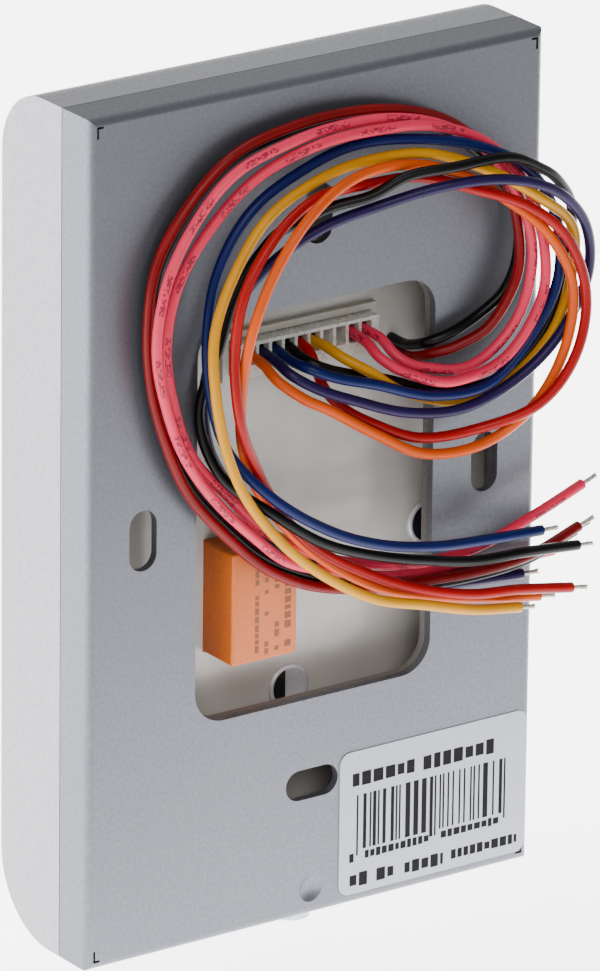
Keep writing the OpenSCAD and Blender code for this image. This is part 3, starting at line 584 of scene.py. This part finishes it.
# Label print: bars and dashes that stand for a code and for lines of words.
# Each line is its left and right ends, its height on the label and the height of its dashes.
labelPrint = {"bars": (-12.3, 12.1), "barTop": 3.8, "barFoot": -3.9, "guardFoot": -4.7, "module": 0.26,
              "seed": 23,
              "lines": [(-13, -3, 6, 2), (-1.7, 10.2, 5.95, 2.1), (-13.4, -12.7, -4.9, 1.3),
                        (-10.9, -0.6, -4.8, 1.2), (1.3, 11, -4.8, 1.2), (-13.3, -10.5, -8.1, 2),
                        (-9, -6.3, -8.1, 1.9), (-4.5, 1.7, -8.2, 1.8), (3, 13.6, -8, 1.4)]}


def labelMarks():
    low, high = (np.array(corner) * 1000 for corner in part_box("label"))
    middle = (low + high) / 2
    rng = np.random.default_rng(labelPrint["seed"])
    marks = []
    x, right, module = *labelPrint["bars"], labelPrint["module"]
    while x < right:
        width = module * rng.integers(1, 4)
        guard = min(abs(x - labelPrint["bars"][0]), abs(x - right), abs(x)) < 0.9
        foot = labelPrint["guardFoot"] if guard else labelPrint["barFoot"]
        marks.append((x + width / 2, (labelPrint["barTop"] + foot) / 2, width, labelPrint["barTop"] - foot))
        x += width + module * rng.integers(1, 4)
    for left, right, z, height in labelPrint["lines"]:
        x = left
        while x < right - 0.2:  # dashes as wide as letters, on one line
            width = min(rng.uniform(0.45, 0.8) * height, right - x)
            marks.append((x + width / 2, z, width, height * rng.uniform(0.7, 1.0)))
            x += width + 0.2 * height
    marks = np.array(marks) * (-1, 1, 1, 1) + (middle[0], middle[2], 0, 0)
    ink = paintFinish("black thermal print", "#050506", "#0A0A0C", 3, 0.3, 0.001, (0.75, 0.85), IOR=1.3)
    flatMarks("label_marks", marks, (high[1] - 0.02, high[1] + 0.02), ink)


labelMarks()
print("label printed")


# Crimp wings: a strip of tinned bronze folded round each conductor, seen in the plug's cavities.
crimp = {"thickness": 0.09, "radius": 0.62, "from": -6.4, "to": -5.0, "open": 0.9, "above": 0.47}


def crimpWings(ways):
    # An open ring as (cos, sin) of u at two radii, carried a short way along y.
    u = np.linspace(np.pi / 2 + crimp["open"] / 2, np.pi * 5 / 2 - crimp["open"] / 2, 22)
    outer, inner = crimp["radius"] + crimp["thickness"], crimp["radius"]
    loop = np.vstack([np.stack([outer * np.cos(u), outer * np.sin(u)], 1),
                      np.stack([inner * np.cos(u), inner * np.sin(u)], 1)[::-1]])
    n, points, faces = len(loop), [], []
    for k, (x, z) in enumerate(ways):
        for y in (crimp["from"], crimp["to"]):
            points.append(np.insert(loop + (x, z + crimp["above"]), 1, y, axis=1))
        first = 2 * n * k
        half = n // 2
        i = np.arange(half - 1)
        for end, turn in ((0, 1), (n, -1)):
            strip = np.stack([i, i + 1, n - 2 - i, n - 1 - i], 1)[:, ::turn] + first + end
            faces += strip.tolist()
        faces += [[first + i, first + n + i, first + n + (i + 1) % n, first + (i + 1) % n] for i in range(n)]
    return np.vstack(points), faces


starts = [route[0] for name, route in routes.items() if not name.startswith("pair")]
points, faces = crimpWings([(x, z) for x, _, z in starts])
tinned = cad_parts["crimp_terminals"].material_slots[0].material
piece = makePiece("crimp_wings", points / 1000, faces, tinned, recalculate=True)
print("crimps folded")


# Keys: satin zinc caps with a soft edge and a slightly hollow touch face, each with its character.
keyCap = {"edge": 0.55, "dish": 0.22, "corner": 1.35, "stem": 3.2, "stemCorner": 1.55, "flangeY": -18.0,
          "flangeBack": 0.85, "flangeFront": 0.05, "flangeRim": 1.0, "flangeCorner": 2, "glyph": 5.6,
          "glyphDepth": 0.12, "glyphSunk": 0.04, "starDrop": 0.9}
keySigns = {"1": "1", "2": "2", "3": "3", "4": "4", "5": "5", "6": "6", "7": "7", "8": "8", "9": "9",
            "star": "*", "0": "0", "hash": "#"}
# Nickel over zinc, tumbled: a calm bright grey with soft highlights.
keyMetal = paintFinish("satin nickel plated zinc", "#8E9095", "#808287", 12, 0.25, 0.002, (0.24, 0.34),
                       Metallic=0.95)
keyInk = paintFinish("dark blue engraving paint", "#0A1830", "#10203C", 3, 0.3, 0.002, (0.4, 0.5), IOR=1.5)


def keyPiece(name, sign):
    low, high = (np.array(corner) * 1000 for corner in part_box("key_" + name))
    middle = (low + high) / 2
    rim, flange = 2 * keyCap["flangeRim"], keyCap["flangeY"]
    width, height, front = high[0] - low[0] - rim, high[2] - low[2] - rim, low[1]
    back, fore = flange + keyCap["flangeBack"], flange + keyCap["flangeFront"]
    # From the stem forwards: round stem, flange, the cap's side, its soft edge and the dished face.
    stem = roundedOutline(keyCap["stem"], keyCap["stem"], keyCap["stemCorner"])
    plate = roundedOutline(width + rim, height + rim, keyCap["flangeCorner"])
    rings = [np.insert(stem, 1, high[1], axis=1), np.insert(stem, 1, back, axis=1),
             np.insert(plate, 1, back, axis=1), np.insert(plate, 1, fore, axis=1)]
    face = [(0, fore)] + fillet(keyCap["edge"], flange, front)
    deep = [(keyCap["edge"] + s * (height / 2 - keyCap["edge"] - 0.4),
             front + keyCap["dish"] * (1 - (1 - s) ** 2)) for s in np.linspace(0.15, 1, 6)]
    for inset, y in face + deep:
        outline = roundedOutline(width - 2 * inset, height - 2 * inset, max(keyCap["corner"] - inset, 0.3))
        rings.append(np.insert(outline, 1, y, axis=1))
    points = np.vstack(rings) + (middle[0], 0, middle[2])
    n = len(stem)
    faces = gridFaces(len(rings), n)[0].tolist()
    faces += [list(range(n))[::-1], list(range(len(points) - n, len(points)))]
    body = "key_body_" + name
    piece = makePiece("cap_" + name, points / 1000, faces, keyMetal, body=body, recalculate=True)
    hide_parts("key_" + name)
    # The character is text made a mesh, its back sunk in the touch face.
    text = bpy.data.curves.new("sign_" + name, "FONT")
    text.body, text.align_x, text.align_y = sign, "CENTER", "CENTER"
    text.size, text.extrude = keyCap["glyph"] / 1000, keyCap["glyphDepth"] / 1000
    shape = bpy.data.objects.new("sign_source", text)
    bpy.context.scene.collection.objects.link(shape)
    bpy.context.view_layer.update()
    mesh = bpy.data.meshes.new_from_object(shape.evaluated_get(bpy.context.evaluated_depsgraph_get()))
    bpy.data.objects.remove(shape)
    drop = keyCap["starDrop"] if sign == "*" else 0
    place = Vector((middle[0], front + keyCap["dish"] + keyCap["glyphSunk"], middle[2] - drop)) / 1000
    mesh.transform(Matrix.Translation(place) @ Matrix.Rotation(math.pi / 2, 4, "X"))
    mesh.materials.clear()
    mesh.materials.append(keyInk)
    mark = bpy.data.objects.new("sign_" + name, mesh)
    bpy.context.scene.collection.objects.link(mark)
    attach(mark, body)


for name, sign in keySigns.items():
    keyPiece(name, sign)
print("keys made:", len(keySigns))


# Floor and light: a light table, brightest behind the reader and fading in front of it, and soft lights.
# A light is its name, its place, its aim, its width in metres and its power in watts.
studio = {"floor": 4.0, "world": (0.9, 0.36), "table": (5.5, 0.3), "fade": (-0.02, 0.2),
          "lights": [("side", (1.3, 0.1, 0.5), (0, 0, 0), 1.0, 6),
                     ("rear", (0.5, 1.2, 0.9), (0, 0, 0), 0.9, 12),
                     ("top", (0.1, -0.3, 1.5), (0, 0, 0), 0.8, 8)]}


def studioSet():
    floorZ = cadBox[0][2]
    size = studio["floor"]
    corners = [(-size, -size, floorZ), (size, -size, floorZ), (size, size, floorZ), (-size, size, floorZ)]
    mesh = bpy.data.meshes.new("floor")
    mesh.from_pydata(corners, [], [(0, 1, 2, 3)])
    floor = bpy.data.objects.new("floor", mesh)
    # Opal acrylic lit from below: its glow goes from the first strength to the second along y.
    material, tree, shader = newMaterial("lit opal acrylic", **{"Base Color": linearColour("#F7F7F7"),
                                                                "Roughness": 0.7})
    place = addNode(tree, "SeparateXYZ", None, {0: addNode(tree, "TexCoord").outputs["Object"]})
    glow = addNode(tree, "MapRange", {1: studio["fade"][0], 2: studio["fade"][1], 3: studio["table"][0],
                                      4: studio["table"][1]}, {0: place.outputs["Y"]})
    tree.links.new(glow.outputs[0], shader.inputs["Emission Strength"])
    shader.inputs["Emission Color"].default_value = (1, 1, 1, 1)
    mesh.materials.append(material)
    bpy.context.scene.collection.objects.link(floor)
    for name, place, aim, width, power in studio["lights"]:
        light = bpy.data.lights.new(name, "AREA")
        light.shape, light.size, light.energy = "SQUARE", width, power
        lamp = bpy.data.objects.new(name, light)
        lamp.matrix_world = Matrix.Translation(place) @ (
            Vector(place) - Vector(aim)).to_track_quat("Z", "Y").to_matrix().to_4x4()
        bpy.context.scene.collection.objects.link(lamp)
    world = bpy.data.worlds.new("studio")
    world.use_nodes = True
    tree = world.node_tree
    # The room is light behind the reader and falls off towards its rear side.
    way = addNode(tree, "SeparateXYZ", None, {0: addNode(tree, "TexCoord").outputs["Generated"]})
    room = addNode(tree, "MapRange", {1: -1, 2: 0.5, 3: studio["world"][0], 4: studio["world"][1]},
                   {0: way.outputs["Y"]})
    tree.nodes["Background"].inputs["Color"].default_value = linearColour("#FFFFFF")
    tree.links.new(room.outputs[0], tree.nodes["Background"].inputs["Strength"])
    bpy.context.scene.world = world


studioSet()
print("studio set")
